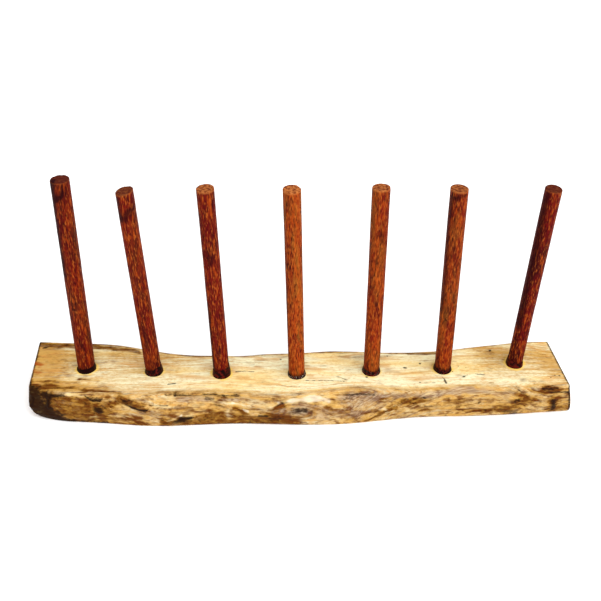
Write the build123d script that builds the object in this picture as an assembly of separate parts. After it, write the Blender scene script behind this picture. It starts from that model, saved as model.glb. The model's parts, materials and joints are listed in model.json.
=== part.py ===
"""Mug tree: a live-edge slab that lies flat, with one row of round pegs glued upright into blind holes.

Units are millimetres. +X runs along the slab, +Y to its back edge and +Z up. The origin is on the
underside, at the middle of the slab's own outline. Mugs go over the pegs or hang on them by their handles.
"""

import math
import os

from build123d import *

# Slab: planed flat above and below, sawn ends, natural wavy edges.
SLAB_THICKNESS = 28.0
ARRIS_TOP = 1.8  # how far the worn top edge is drawn in from the outline below it
ARRIS_FOOT = 0.8  # the same at the underside
ARRIS_TOP_HEIGHT = 3.0
ARRIS_FOOT_HEIGHT = 2.0
BELLY = 1.5  # how far the natural edges swell between the top and the foot
LEFT_END_ROUNDING = 16.0  # worn lower corner of the left end
RIGHT_END_ROUNDING = 3.5
END_FLARE = 0.25  # how far a worn corner starts beyond the end's foot line, where the end flares out

# The natural edges as (x, y) points, from the left end to the right one.
FRONT_TOP = [
    (-209.8, -21.5), (-188, -28), (-158, -31.5), (-113, -31), (-58, -28.5), (-6, -33),
    (37, -25.5), (92, -26.5), (142, -22), (167, -23.5), (212.6, -19.5),
]
FRONT_FOOT = [
    (-212.8, -25.5), (-188, -30), (-158, -32.3), (-113, -35.8), (-58, -33.3), (-6, -34),
    (37, -33.5), (92, -26.2), (142, -24.3), (167, -22.8), (217.5, -18.2),
]
BACK_TOP = [
    (-215.3, 35.6), (-178, 33.6), (-138, 28.5), (-98, 19), (-58, 17.6), (-6, 20.3),
    (37, 22.5), (92, 21.2), (132, 26), (172, 33), (207.8, 36),
]
BACK_FOOT = [
    (-217.5, 35), (-178, 34), (-138, 31), (-98, 24), (-58, 20), (-6, 21),
    (37, 25), (92, 24), (132, 28), (172, 32), (211.2, 35),
]

# Pegs: round dowel, each in a hand-drilled hole that leans a degree or two.
PEG_RADIUS = 6.35
HOLE_DEPTH = 20.0
GLUE_THICKNESS = 0.3  # all round a peg's foot, which is sanded this much thinner than its hole
GLUE_PAD = 0.5  # under a peg's foot
SANDED_ABOVE = 1.0  # how far above its glue collar the sanded foot ends and the full shaft begins
PEG_TOP_EDGE = 0.6
PEG_FOOT_CHAMFER = 1.0
COLLAR_SPREAD = 1.5  # how far the squeezed-out glue spreads over the slab
COLLAR_FILM = 0.3  # its thickness at the top of the collar

# Each peg as x, y, lean towards +X and +Y in degrees, height above the slab, radius, collar height.
PEGS = [
    (-168.7, 1.5, 1.9, 1.5, 167.0, 6.8, 3.0),
    (-114.6, -2.0, -1.3, 0.0, 163.0, PEG_RADIUS, 5.0),
    (-60.5, -4.5, -0.8, 0.5, 164.5, PEG_RADIUS, 7.0),
    (-1.0, -5.5, -1.0, 0.5, 164.5, PEG_RADIUS, 3.0),
    (58.3, -1.5, -0.4, 0.3, 164.0, PEG_RADIUS, 3.5),
    (115.2, 1.0, -1.6, -0.4, 163.0, PEG_RADIUS, 3.5),
    (174.0, 7.5, 0.9, -1.2, 160.5, 6.0, 5.0),
]

STANDING = (Align.CENTER, Align.CENTER, Align.MIN)
REACH = 60.0  # larger than any part of a peg's foot, for half-space cutters


def between(low, high, share):
    """Points part of the way from the points of low to those of high."""
    return [(a + (c - a) * share, b + (d - b) * share) for (a, b), (c, d) in zip(low, high)]


def outline(z, front, back, grow):
    """The slab's closed outline at height z. Positive grow moves the edges outwards, negative draws them in."""

    ends = (front[0][0], front[-1][0], back[0][0], back[-1][0])
    draw_in = min(grow, 0)

    def moved(x):
        return x + draw_in * math.copysign(1, x) if x in ends else x

    front_edge = Spline(*[(moved(x), y - grow, z) for x, y in front])
    back_edge = Spline(*[(moved(x), y + grow, z) for x, y in reversed(back)])
    right_end = Line(front_edge @ 1, back_edge @ 0)
    left_end = Line(back_edge @ 1, front_edge @ 0)
    return Wire([front_edge, right_end, back_edge, left_end])


def end_rounding(front, back, radius, side):
    """What the worn lower corner of an end is missing: a square prism less the cylinder that rounds it."""
    width = 2 * REACH
    slant = math.degrees(math.atan2(front[0] - back[0], back[1] - front[1]))
    square = Box(2 * radius, width, 2 * radius)
    round_part = Pos(-side * radius, 0, radius) * Rot(90, 0, 0) * Cylinder(radius, width)
    middle = Pos((front[0] + back[0]) / 2 + side * END_FLARE, (front[1] + back[1]) / 2, 0)
    return middle * Rot(0, 0, slant) * (square - round_part)


def slab_blank():
    """The slab with no holes: a smooth loft through five outlines, then the two worn end corners."""
    middle_front = between(FRONT_FOOT, FRONT_TOP, 0.5)
    middle_back = between(BACK_FOOT, BACK_TOP, 0.5)
    levels = [
        outline(0, FRONT_FOOT, BACK_FOOT, -ARRIS_FOOT),
        outline(ARRIS_FOOT_HEIGHT, FRONT_FOOT, BACK_FOOT, 0),
        outline(SLAB_THICKNESS / 2, middle_front, middle_back, BELLY),
        outline(SLAB_THICKNESS - ARRIS_TOP_HEIGHT, FRONT_TOP, BACK_TOP, 0),
        outline(SLAB_THICKNESS, FRONT_TOP, BACK_TOP, -ARRIS_TOP),
    ]
    blank = Solid.make_loft(levels)
    blank -= end_rounding(FRONT_FOOT[0], BACK_FOOT[0], LEFT_END_ROUNDING, -1)
    blank -= end_rounding(FRONT_FOOT[-1], BACK_FOOT[-1], RIGHT_END_ROUNDING, 1)
    return blank


def peg_plane(x, y, lean_x, lean_y):
    """The peg's own frame: its origin where the axis meets the slab's top, its Z along the peg."""
    axis = Vector(math.tan(math.radians(lean_x)), math.tan(math.radians(lean_y)), 1).normalized()
    return Plane(origin=(x, y, SLAB_THICKNESS), x_dir=(1, 0, -axis.X / axis.Z), z_dir=axis)


def hole_tool(plane, radius):
    """The drill's path, from the bottom of the blind hole to just above the slab."""
    return plane * Pos(0, 0, -HOLE_DEPTH) * Cylinder(radius, HOLE_DEPTH + 5, align=STANDING)


def peg_solid(plane, height, radius, collar):
    """A round peg with an eased top edge and a foot sanded a little thinner, chamfered at its end."""
    foot_depth = HOLE_DEPTH - GLUE_PAD
    shoulder = collar + SANDED_ABOVE
    foot = Pos(0, 0, -foot_depth) * Cylinder(radius - GLUE_THICKNESS, foot_depth + shoulder, align=STANDING)
    foot = chamfer(foot.edges().sort_by(Axis.Z)[0], PEG_FOOT_CHAMFER)
    shaft = Pos(0, 0, shoulder) * Cylinder(radius, height - shoulder, align=STANDING)
    shaft = fillet(shaft.edges().sort_by(Axis.Z)[-1], PEG_TOP_EDGE)
    return plane * (foot + shaft)


def glue_solid(plane, radius, collar, peg):
    """The hardened glue of one peg: the sleeve that fills its hole, and the collar squeezed out on top."""
    below_top = Pos(plane.origin.X, plane.origin.Y, SLAB_THICKNESS - REACH) * Box(
        REACH, REACH, REACH, align=STANDING
    )
    sleeve = hole_tool(plane, radius) & below_top
    spread = plane * Pos(0, 0, -1) * Cone(
        radius + COLLAR_SPREAD, radius + COLLAR_FILM, collar + 1, align=STANDING
    )
    return (sleeve + (spread - below_top)) - peg


def write(name, shape):
    """Writes one sub-part to its own STEP file."""
    export_step(shape, f"parts/{name}.step")


def main():
    """Builds the slab, then each peg with its hole and its glue, and writes every sub-part."""
    os.makedirs("parts", exist_ok=True)
    slab = slab_blank()
    for number, (x, y, lean_x, lean_y, height, radius, collar) in enumerate(PEGS, start=1):
        plane = peg_plane(x, y, lean_x, lean_y)
        slab -= hole_tool(plane, radius)
        peg = peg_solid(plane, height, radius, collar)
        write(f"peg_{number}", peg)
        write(f"glue_{number}", glue_solid(plane, radius, collar, peg))
    write("slab", slab)


if __name__ == "__main__":
    main()
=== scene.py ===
"""Mug tree: a live-edge hardwood slab with a row of seven pegs glued into it.

The slab, the pegs and the glue round their feet are built as surfaces over the CAD frame. Lengths in this
file are millimetres unless a name says otherwise, and meshes are written in metres.
"""

import json
import math

import bpy
import numpy as np
from bpy.props import FloatProperty, FloatVectorProperty, IntProperty, PointerProperty
from bpy.types import Operator, Panel, PropertyGroup
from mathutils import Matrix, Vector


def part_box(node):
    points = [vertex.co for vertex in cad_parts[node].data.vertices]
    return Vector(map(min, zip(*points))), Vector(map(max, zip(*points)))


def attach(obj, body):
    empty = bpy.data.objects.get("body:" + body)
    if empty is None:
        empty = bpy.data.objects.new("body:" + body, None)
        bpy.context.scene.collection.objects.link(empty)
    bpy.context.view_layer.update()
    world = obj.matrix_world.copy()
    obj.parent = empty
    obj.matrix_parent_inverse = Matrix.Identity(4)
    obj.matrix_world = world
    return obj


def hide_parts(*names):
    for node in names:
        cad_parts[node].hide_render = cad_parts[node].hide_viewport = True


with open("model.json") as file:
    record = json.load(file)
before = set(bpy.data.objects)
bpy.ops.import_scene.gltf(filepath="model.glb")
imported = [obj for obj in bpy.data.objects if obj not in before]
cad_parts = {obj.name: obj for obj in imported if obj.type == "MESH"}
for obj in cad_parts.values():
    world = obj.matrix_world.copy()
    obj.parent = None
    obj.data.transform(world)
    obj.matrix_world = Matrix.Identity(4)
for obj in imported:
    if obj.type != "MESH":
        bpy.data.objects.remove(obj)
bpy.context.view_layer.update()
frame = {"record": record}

bl_info = {
    "name": "Mug tree",
    "version": (1, 0, 0),
    "blender": (4, 5, 0),
    "location": "View3D > Sidebar > Mug tree",
    "description": "Builds a live-edge slab with a row of glued wooden pegs",
    "category": "Add Mesh",
}

MM = 0.001
BODY = "root"
SLAB_LOW, SLAB_HIGH = (np.array(corner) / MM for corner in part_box("slab"))
THICKNESS = SLAB_HIGH[2]

# ---------------------------------------------------------------- the slab's own shape

# Natural edges as (x, y) points from the left end to the right one, at the foot and at the top.
FRONT_TOP = [
    (-209.8, -21.5), (-188, -28), (-158, -31.5), (-113, -31), (-58, -28.5), (-6, -33),
    (37, -25.5), (92, -26.5), (142, -22), (167, -23.5), (212.6, -19.5),
]
FRONT_FOOT = [
    (-212.8, -25.5), (-188, -30), (-158, -32.3), (-113, -35.8), (-58, -33.3), (-6, -34),
    (37, -33.5), (92, -26.2), (142, -24.3), (167, -22.8), (217.5, -18.2),
]
BACK_TOP = [
    (-215.3, 35.6), (-178, 33.6), (-138, 28.5), (-98, 19), (-58, 17.6), (-6, 20.3),
    (37, 22.5), (92, 21.2), (132, 26), (172, 33), (207.8, 36),
]
BACK_FOOT = [
    (-217.5, 35), (-178, 34), (-138, 31), (-98, 24), (-58, 20), (-6, 21),
    (37, 25), (92, 24), (132, 28), (172, 32), (211.2, 35),
]
FOOT_ARRIS = (0.9, 2.0)  # how far the underside's edge is drawn in, and how high its rounding reaches
TOP_ARRIS = (2.3, 3.2)
BACK_ARRIS = (1.3, 2.2)
BELLY = 1.3  # the live edges swell this far between the two arrises
END_ROUNDING = (16.0, 3.5)  # worn lower corners of the left and right ends
END_EASING = (1.6, 1.1)  # sawn ends' edges, rubbed round
END_EDGE_REACH = 12.0  # a worn lower corner pushes the rows of points along for about this far
BOX_EASE = 0.25  # over about this far, points near the slab's own box are eased to stay inside it
BOARD_EDGE = (0.6, 3.4)  # from a natural edge's line, depths between which its relief and stains give way

# Points of the slab's grid: rows along it, rows that close an end, and steps round its section.
LENGTH_ROWS = 470
CAP_ROWS = 12
ARRIS_STEPS = 7
WALL_STEPS = 30
TOP_STEPS = 58
FOOT_STEPS = 10

# Features are streaks: a line's two ends, its half width and its strength. On the front edge the ends are
# (x, z) points, on the top (x, y) points.
FRONT_SWELLINGS = [
    (-8, 20.5, 16, 20.5, 7.0, 0.9),  # brow over the big knot
    (-6, 12.5, 10, 12.5, 3.5, -0.6),  # the knot's sunken eye
]
FRONT_HOLLOWS = [
    (-135, 25.0, -118.5, 17.8, 3.0, 2.6),  # long hollow of a lost branch
    (-162, 26.4, -158, 24.6, 1.3, 0.8),  # slot, in three strokes
    (-158, 24.6, -153, 24.4, 1.4, 1.0),
    (-153, 24.4, -150, 26.2, 1.3, 0.8),
    (-153.6, 16.2, -153.2, 15.9, 3.0, 1.3),  # small round knot
    (-191.9, 25.5, -193.4, 14.0, 1.1, 1.8),  # upright crack
    (-206.5, 22.5, -207.3, 12.5, 2.6, 1.2),  # rough patch by the end
    (-186, 10.5, -183.5, 9.0, 2.0, 0.7),
    (-100, 4.5, -82, 8.5, 3.0, 1.4),  # torn bark
    (-68, 12.5, -44, 16.5, 0.9, 0.8),
    (95.5, 15.0, 112, 14.0, 0.9, 0.9),
    (-95, 26.6, -46, 26.6, 0.9, 0.9),  # bark seam just under the arris
    (192, 26.0, 211, 24.0, 1.2, 0.6),
    (200.2, 15.5, 201.8, 5.0, 2.0, 0.7),
    (52.6, 2.7, 76, 13.0, 0.9, 0.9),
    (64, 9.2, 85, 21.0, 1.0, 0.9),
    (44, 7.4, 64, 12.6, 0.9, 0.7),
    (-31, 10.4, -22, 10.8, 0.9, 0.8),
    (-114, 20.6, -100, 19.2, 0.7, 0.6),
    (-116, 17.2, -102, 16.8, 0.7, 0.6),
]
FRONT_GAPS = [
    (-195.5, 25.0, -182.5, 26.4, 0.55, 0.8),
    (-191.9, 25.0, -193.2, 20.0, 0.65, 1.0),
    (-193.2, 20.5, -193.1, 13.5, 1.0, 1.0),
    (-159, 24.4, -153, 24.2, 0.6, 0.8),
    (-206.0, 21.5, -206.9, 14.5, 1.2, 0.8),
    (-118.5, 17.8, -115.5, 17.0, 0.7, 0.8),
    (-94.5, 26.7, -83, 26.7, 0.35, 0.9),
    (-73, 27.0, -58, 26.8, 0.4, 0.9),
    (-55, 26.8, -46, 26.9, 0.45, 0.8),
    (99, 14.8, 105, 14.4, 0.4, 0.5),
    (-93, 7.0, -83, 9.3, 0.8, 0.9),
    (-30.5, 10.4, -23.5, 10.7, 0.5, 0.8),
    (195, 24.4, 211.5, 23.0, 0.5, 0.8),
]
TOP_GAPS = [
    (5.5, -13.4, 22, -13.0, 0.42, 0.85),
    (22, -13.0, 37, -14.5, 0.34, 0.7),
    (-50, -2.9, -41, -2.3, 0.5, 0.95),
    (-41, -2.3, -34, -3.0, 0.35, 0.7),
    (-37, -15.2, -22, -16.4, 0.3, 0.55),
    (-24, -18.8, 2, -20.6, 0.3, 0.6),
    (-6, -28.4, 21, -28.0, 0.35, 0.6),
    (31.5, -9.4, 38, -12.2, 0.35, 0.7),
    (-101.4, -17.6, -96.5, -16.9, 0.6, 0.85),
    (114.0, -8.7, 114.7, -13.0, 0.5, 0.9),  # short check across the grain
    (114.7, -13.0, 115.8, -16.5, 0.8, 1.0),
    (130.0, -9.2, 132.0, -8.6, 0.7, 0.9),
    (132.0, -8.2, 134.8, -6.8, 0.45, 0.8),
    (140.0, -5.6, 143.0, -6.2, 0.4, 0.75),
    (144.0, -6.0, 148.0, -6.4, 0.45, 0.8),
    (184, -17.2, 192, -21.0, 0.35, 0.8),
    (170, -20, 175.4, -25.5, 0.35, 0.8),
    (96, -15.8, 108, -16.4, 0.3, 0.6),
    (84.0, 1.9, 86.6, 1.6, 0.6, 0.9),
    (-210.2, 26.4, -207.0, 27.6, 1.2, 0.9),  # dark nick at the back left corner
]
# Worm holes as (x, y, radius).
WORM_HOLES = [
    (-14.0, 12.2, 0.6), (85.2, 1.8, 0.8), (98.0, 7.1, 0.65), (72.5, 16.5, 0.5), (54.0, -9.3, 0.65),
    (157.4, 23.4, 0.65), (203.0, -7.4, 0.45), (206.5, -7.6, 0.45), (199.3, -9.9, 0.4),
    (95.4, -15.6, 0.5), (95.1, -11.6, 0.35), (128.2, 4.0, 0.4), (134.2, 2.3, 0.35), (122.8, -2.6, 0.5),
]
WORM_DEPTH = 7.0
WORM_RIM = 1.3  # a worm hole's dark rim lies at this many radii
WORM_SIDES = 12
FRONT_WORM = (141.2, 14.3, 0.65)  # the one in the front edge, as (x, z, radius)

# Stains, as streaks too.
FRONT_BROWN = [
    (-216, 13, -192, 10, 18, 0.9),
    (-190, 12, -165, 10, 14, 0.75),
    (-165, 18, -148, 22, 6, 0.55),
    (-153.4, 9, -152, 3, 3.0, 0.5),
    (-150, 4, -120, 3, 6, 0.35),
    (-136, 25.5, -118.5, 17.6, 4.0, 1.0),
    (-104, 3, -60, 3, 4.5, 1.0),
    (-76, 8, -60, 11, 4.0, 0.9),
    (-66, 3, -20, 3, 6.0, 1.0),
    (-47, 16.5, -41.5, 12, 2.4, 0.9),
    (-44, 5, -6, 4, 5.0, 0.9),
    (-20, 8, -12, 18, 4.0, 1.0),
    (-14, 15, 16, 15, 7.0, 0.30),
    (18, 4, 22, 14, 3.0, 0.35),
    (23, 13.1, 52, 10, 1.8, 0.8),
    (44, 7.4, 64, 12.6, 1.4, 0.9),
    (52.6, 2.7, 76, 13.0, 1.3, 0.9),
    (64, 9.2, 85, 21, 1.8, 0.55),
    (63, 18.5, 71, 23.5, 1.6, 0.8),
    (38, 22.0, 60, 21.5, 3.0, 0.55),
    (84, 16.5, 96, 20.0, 4.2, 0.55),
    (116, 18, 130, 19, 2.2, 0.35),
    (120, 10, 138, 5, 3.0, 0.3),
    (96, 13, 156, 14, 9.0, 0.24),
    (146, 6, 153, 9.5, 3.0, 0.7),
    (164, 6, 176, 17, 6.0, 0.75),
    (176, 21, 184, 18, 3.0, 0.4),
    (182, 26, 193, 24.6, 1.6, 0.7),
    (192, 26.3, 213, 24.5, 2.4, 0.8),
    (200.4, 15, 201.6, 5, 3.6, 1.0),
    (198, 12, 216, 8, 9.0, 0.45),
]
FRONT_DARK = [
    (-214, 21, -211, 7, 8.0, 1.3),
    (-203, 24, -199, 12, 7.5, 1.0),
    (-206, 9, -190, 4.5, 5.5, 0.9),
    (-197, 25.0, -181, 26.6, 1.6, 1.0),
    (-192.5, 25, -193.5, 11, 3.0, 0.9),
    (-186, 10.5, -183.5, 8.5, 2.6, 0.7),
    (-205, 2.5, -178, 2.0, 3.2, 0.9),
    (-180, 1.5, -149, 1.6, 1.8, 0.8),
    (-178, 22, -172, 23, 2.5, 0.35),
    (-161, 25.6, -152, 25.4, 1.3, 0.7),
    (-163, 26.8, -158, 24.4, 1.2, 0.7),
    (-158, 24.4, -153, 24.2, 1.4, 0.9),
    (-153, 24.4, -149.8, 26.6, 1.1, 0.6),
    (-154.2, 15.8, -152.8, 15.6, 3.6, 1.5),
    (-149, 21.5, -146, 21.0, 2.6, 0.4),
    (-134, 24.6, -119, 18.0, 2.8, 0.6),
    (-133, 22.4, -127, 18.8, 1.1, 0.7),
    (-127, 18.8, -117, 17.0, 1.1, 0.9),
    (-135, 26.0, -126, 24.8, 1.0, 0.6),
    (-114, 20.7, -101, 19.2, 0.8, 0.8),
    (-101, 19.2, -95, 21.4, 0.8, 0.6),
    (-116, 17.2, -102, 16.8, 0.8, 0.7),
    (-103, 27.0, -94, 26.8, 0.6, 0.7),
    (-94.5, 26.8, -83, 26.8, 1.0, 0.7),
    (-74, 27.0, -57, 26.6, 1.3, 0.8),
    (-57, 26.6, -45, 26.8, 1.0, 0.7),
    (-101, 4.0, -90, 7.5, 2.4, 0.5),
    (-96, 5.0, -84, 6.0, 2.0, 0.6),
    (-91, 8.4, -82, 9.4, 1.4, 1.0),
    (-76, 5, -66, 8, 2.4, 0.5),
    (-71, 23.0, -66, 22.2, 1.5, 0.8),
    (-64.5, 18.0, -58.5, 17.8, 1.0, 0.8),
    (-46, 16.0, -43, 13.0, 1.4, 0.6),
    (-42, 3.5, -24, 3.0, 2.5, 0.5),
    (-31, 10.4, -23, 10.7, 1.0, 0.9),
    (-20, 7, -14, 8, 3.0, 0.7),
    (-16.5, 20.5, -12, 22.4, 1.2, 0.7),
    (-12, 22.4, -2, 23.0, 0.9, 0.6),
    (-7, 14.6, 10, 14.8, 3.0, 0.60),
    (0, 15.8, 4.5, 15.6, 1.6, 0.45),
    (35, 21.5, 42, 21.2, 1.0, 0.6),
    (36, 24.2, 60.5, 24.2, 1.1, 0.8),
    (61, 10.6, 64, 12.6, 0.9, 0.6),
    (60, 6.0, 70, 10.0, 0.8, 0.7),
    (72, 13.5, 85, 21.0, 0.9, 0.7),
    (90, 21.2, 97, 22.8, 1.5, 0.75),
    (97, 22.6, 104, 22.0, 0.8, 0.8),
    (86, 18.0, 92, 17.0, 1.6, 0.6),
    (95.5, 15.0, 112, 14.0, 1.4, 0.55),
    (124, 11.2, 126, 11.6, 1.4, 0.6),
    (132, 5.0, 136, 5.0, 1.6, 0.45),
    (115.8, 2.8, 116.6, 2.4, 0.9, 0.9),
    (140.9, 15.3, 141.2, 15.3, 1.1, 0.9),
    (148, 7.0, 151, 8.0, 1.8, 0.5),
    (169, 17.0, 172, 18.0, 2.0, 0.8),
    (164, 5.5, 173, 3.5, 3.0, 0.6),
    (170.5, 27.6, 178.6, 21.4, 0.7, 0.8),
    (190, 27.3, 203, 27.0, 0.9, 0.9),
    (193, 24.6, 212, 22.8, 1.2, 1.0),
    (200.4, 15.0, 201.6, 5.5, 2.3, 1.15),
    (-22, 1.2, 215, 1.0, 0.9, 0.35),
]
FRONT_GREY = [
    (-90, 23.2, -66, 22.6, 2.8, 0.75),
    (-61, 22.3, -48, 22.2, 1.4, 0.9),
    (-45, 24, -24, 20, 4.0, 0.45),
    (-16, 21.0, -2, 23.0, 1.4, 0.4),
    (-12, 14.8, 14, 14.8, 6.5, 0.75),
    (34, 23, 62, 23, 4.0, 1.0),
    (40, 16, 66, 17, 3.5, 0.6),
    (20, 8, 48, 7, 4.0, 0.5),
    (60, 24.0, 70, 22.8, 1.4, 1.0),
    (74, 24.0, 100, 24.8, 3.0, 0.9),
    (102, 24.0, 134, 26.3, 3.0, 1.2),
    (134, 25.0, 162, 23.0, 3.4, 0.7),
    (100, 11.0, 116, 9.0, 1.8, 0.4),
    (-150, 22.0, -146, 21.0, 3.0, 0.4),
    (-128, 12, -114, 12.5, 1.6, 0.5),
    (24, 12, 60, 11, 3.0, 0.4),
]
# Pale wood on the live edges, and a painted highlight: the glare over the big knot's brow.
FRONT_PALE_AND_GLARE = [
    (-177, 27.4, -166, 27.0, 0.9, 0.75),
    (-160.5, 8.0, -157, 9.5, 3.2, 0.6),
    (-134, 20.6, -128, 16.6, 1.6, 0.5),
    (-128, 16.6, -116, 14.8, 1.5, 0.5),
    (-146, 14, -138, 20, 2.4, 0.35),
    (-112, 23.5, -98, 24.0, 2.0, 0.6),
    (-110, 18.3, -99, 18.0, 0.8, 0.7),
    (-102, 6.6, -91, 10.6, 1.3, 0.75),
    (-91, 10.6, -73, 13.6, 1.5, 0.6),
    (-86, 15, -74, 18, 2.0, 0.6),
    (-59, 20.4, -50, 20.5, 1.0, 0.85),
    (-50, 20.5, -41, 18.8, 1.0, 0.85),
    (-66, 20.8, -62, 19.6, 1.6, 0.6),
    (-55, 14.0, -52.8, 8.5, 2.8, 0.8),
    (-42.6, 16.0, -39.4, 14.0, 1.3, 1.1),
    (-38, 23.5, -20, 18.5, 3.2, 0.55),
    (-19, 19, -14, 22.5, 1.6, 0.35),
    # These three strokes are a painted highlight, the glare on the brow over the big knot.
    (-14, 22.5, -4, 24.0, 2.0, 0.65),
    (-4, 24.4, 14, 24.0, 3.0, 1.0),
    (10, 23.4, 22, 21.5, 3.4, 0.9),
    (24, 20, 34, 19, 2.6, 0.45),
    (64, 12.2, 68, 12.0, 1.6, 0.9),
    (70, 9.0, 75, 11.0, 1.2, 0.8),
    (76, 15.0, 84, 18.5, 1.0, 0.5),
    (98, 25.0, 105, 25.0, 1.0, 0.6),
    (30, 4.5, 44, 3.5, 2.0, 0.4),
    (90, 12, 118, 11.5, 1.4, 0.4),
    (180, 7, 194, 9, 3.0, 0.35),
]
TOP_BROWN = [
    (-214, 31.0, -168, 28.5, 3.2, 1.7),
    (-168, 28.5, -131, 22.5, 3.0, 1.4),
    (-209, -19.6, -196, -21.5, 2.6, 1.1),
    (-209, -13, -188, -16, 2.4, 0.8),
    (-196, -19, -165, -24, 2.4, 1.0),
    (-165, -25, -138, -27.5, 2.0, 0.8),
    (-196, -22.0, -182, -25.0, 2.0, 1.0),
    (-182, -25.2, -160, -29.0, 1.2, 0.7),
    (-199, -8.5, -187, -10.0, 1.3, 0.45),
    (-190, -14.5, -172, -16.0, 1.4, 0.7),
    (-172, -12.0, -156, -13.6, 1.3, 0.8),
    (-210, 7, -206, 3, 2.6, 0.75),
    (-209, -3, -206, -6, 2.0, 0.6),
    (-213, 20, -209, -16, 2.2, 0.5),
    (-27, 19, -11, 15.2, 3.2, 0.40),
    (-80, 12.5, -70, 11.5, 2.0, 0.35),
    (34, 17, 52, 15.5, 4.0, 0.45),
    (90, 19.6, 112, 20.4, 2.0, 0.85),
    (157, 23, 168, 14, 4.2, 0.50),
    (150, -16.3, 151.4, -16.3, 1.2, 0.8),
    (176, -12, 196, -17, 2.2, 0.45),
    (184, -17.3, 192, -20.8, 1.0, 0.8),
    (169.6, -19.8, 175.4, -26.0, 1.0, 0.7),
    (203, 16, 208, 6, 2.5, 0.35),
    (5.5, -13.4, 37, -14.3, 1.0, 0.55),
    (-6, -28.4, 21, -28.2, 1.0, 0.6),
    (-50, -2.7, -34, -2.7, 1.1, 0.55),
    (-37, -15.2, -22, -16.3, 1.0, 0.4),
    (-24, -18.8, 2, -20.8, 0.9, 0.4),
    (31, -9.3, 38, -12.2, 1.0, 0.5),
    (128, -11, 136, -12, 1.5, 0.3),
    (-150, 17, -138, 16, 3.0, 0.3),
]
TOP_TAN = [
    (-214, 26, -208, -20, 24, 1.05),
    (-200, 4, -105, 4, 26, 0.60),
    (-205, -18, -150, -24, 6, 0.45),
    (-170, -22, -110, -25, 6, 0.45),
    (-60, -26, 20, -28, 3, 0.30),
    (160, 10, 215, 10, 26, 0.70),
    (150, 24, 172, 20, 8, 0.35),
    (196, 20, 212, -14, 10, 0.40),
    (30, 12, 60, 12, 7, 0.25),
    (-150, 18, -80, 12, 5, 0.35),
    (100, -18, 150, -16, 5, 0.25),
]
TOP_GREY = [
    (-214, 30.0, -131, 22.5, 2.6, 0.4),
    (-106, -0.8, -96, -1.6, 1.8, 0.7),
    (-27, 19, -11, 15, 3.0, 0.5),
    (36, 16, 52, 15, 4, 0.45),
    (34, -22.0, 80, -20.6, 2.6, 0.55),
    (30, -27, 105, -25, 3.0, 0.70),
    (104, -24.0, 138, -22.5, 2.6, 0.65),
    (140, -20, 165, -20, 3.0, 0.45),
    (-90, -28, -45, -27.5, 1.8, 0.5),
    (-199, -8.5, -187, -10, 1.5, 0.4),
]
TOP_RUST = [
    (-211, 7.5, -206, 4.5, 3.0, 1.0),
    (-210, -1, -206, -5.0, 2.2, 0.7),
]
GLUE_HALO = (0.8, 0.5, 0.9, 0.5, 0.6, 0.7, 1.0)  # how strongly each peg's glue has yellowed the slab
HALO_WIDTH = 2.2  # the yellowing falls off over about this far

# The grain's climb along the front edge, as (x, rise per length).
GRAIN_CLIMB = [
    (-216, 0.0), (-150, 0.02), (-132, -0.55), (-112, -0.35), (-85, -0.10), (-45, -0.15),
    (-20, 0.10), (30, -0.10), (50, 0.45), (95, 0.50), (112, 0.05), (150, 0.15),
    (168, -0.45), (190, -0.45), (200, 0.0), (216, 0.0),
]
# Knots that the rings bend round, as (x, y, z, reach along x, reach across).
KNOTS = [
    (3.0, -33.0, 14.0, 27.0, 11.5),
    (-128.0, -33.0, 21.0, 17.0, 6.0),
    (171.0, -22.0, 5.0, 12.0, 10.0),
    (-60.0, 22.0, 12.0, 20.0, 9.0),
    (95.0, 26.0, 16.0, 15.0, 8.0),
    (150.0, 2.0, 28.0, 26.0, 9.0),
]
PITH_DEPTH = 24.0  # the log's centre runs this far below the slab
NOISE_TABLE = 64  # noise repeats after this many lumps
FIELD_LIMIT = 1.2  # stored stains are kept below this
FAR_GAP = 4.0  # distance stored where no dark gap is near, in half widths
END_GRAIN = (0.25, 0.75)  # from a sawn end, the depths between which its grain gives way to the edges'
END_STAIN = (1.4, 3.0)  # the same for the dark stain round it

# ---------------------------------------------------------------- pegs and glue

HOLE_DEPTH = 20.0
GLUE_PAD = 0.5
GLUE_THICKNESS = 0.3
SANDED_ABOVE = 1.0
PEG_EDGE = 0.6
FOOT_CHAMFER = 1.0
HOLE_SLACK = 0.02  # the slab's holes are cut this much wider than the glue that fills them
HOLE_SIDES = 48

# Each peg's own looks: redness, lightness, the top's slant and the direction it falls to in degrees, and
# how light the top is.
PEG_LOOKS = [
    (0.60, 0.24, 3.0, 200.0, 0.10),
    (0.75, 0.35, 10.0, 190.0, 0.25),
    (0.90, 0.34, 2.0, 260.0, 0.75),
    (0.10, 0.86, 2.0, 280.0, 1.00),
    (0.30, 0.64, 2.0, 100.0, 0.80),
    (0.35, 0.55, 3.0, 0.0, 0.65),
    (1.00, 0.25, 3.0, 340.0, 0.15),
]
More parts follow.
